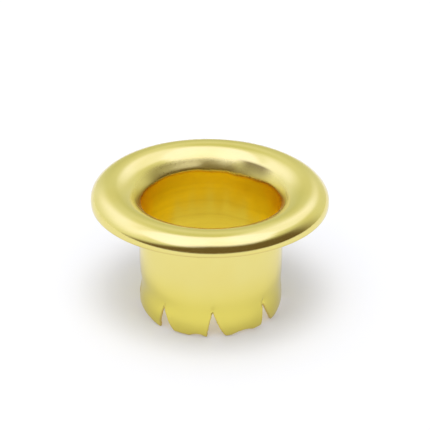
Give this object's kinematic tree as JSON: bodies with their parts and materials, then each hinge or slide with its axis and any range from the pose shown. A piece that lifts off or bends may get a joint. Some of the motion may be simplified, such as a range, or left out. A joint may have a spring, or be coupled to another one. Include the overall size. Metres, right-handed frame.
{
  "type": "grommet eyelet",
  "caption": "Pressed brass eyelet with a rolled flange, a funnel-shaped bore, and a thin barrel whose torn end has teeth that curl over a washer when set.",
  "frame": {"origin": "on the bore's axis, in the plane of the tips of the teeth", "axes": "+Z along the bore's axis, from the teeth to the flange; -Y towards the side that the picture shows"},
  "size_m": [0.0206, 0.0206, 0.0117],
  "materials": {
    "brass_sheet": "bright pale gold, softly polished, satin in the bore"
  },
  "bodies": {
    "root": {"eyelet_shell": "brass_sheet"}
  },
  "joints": []
}
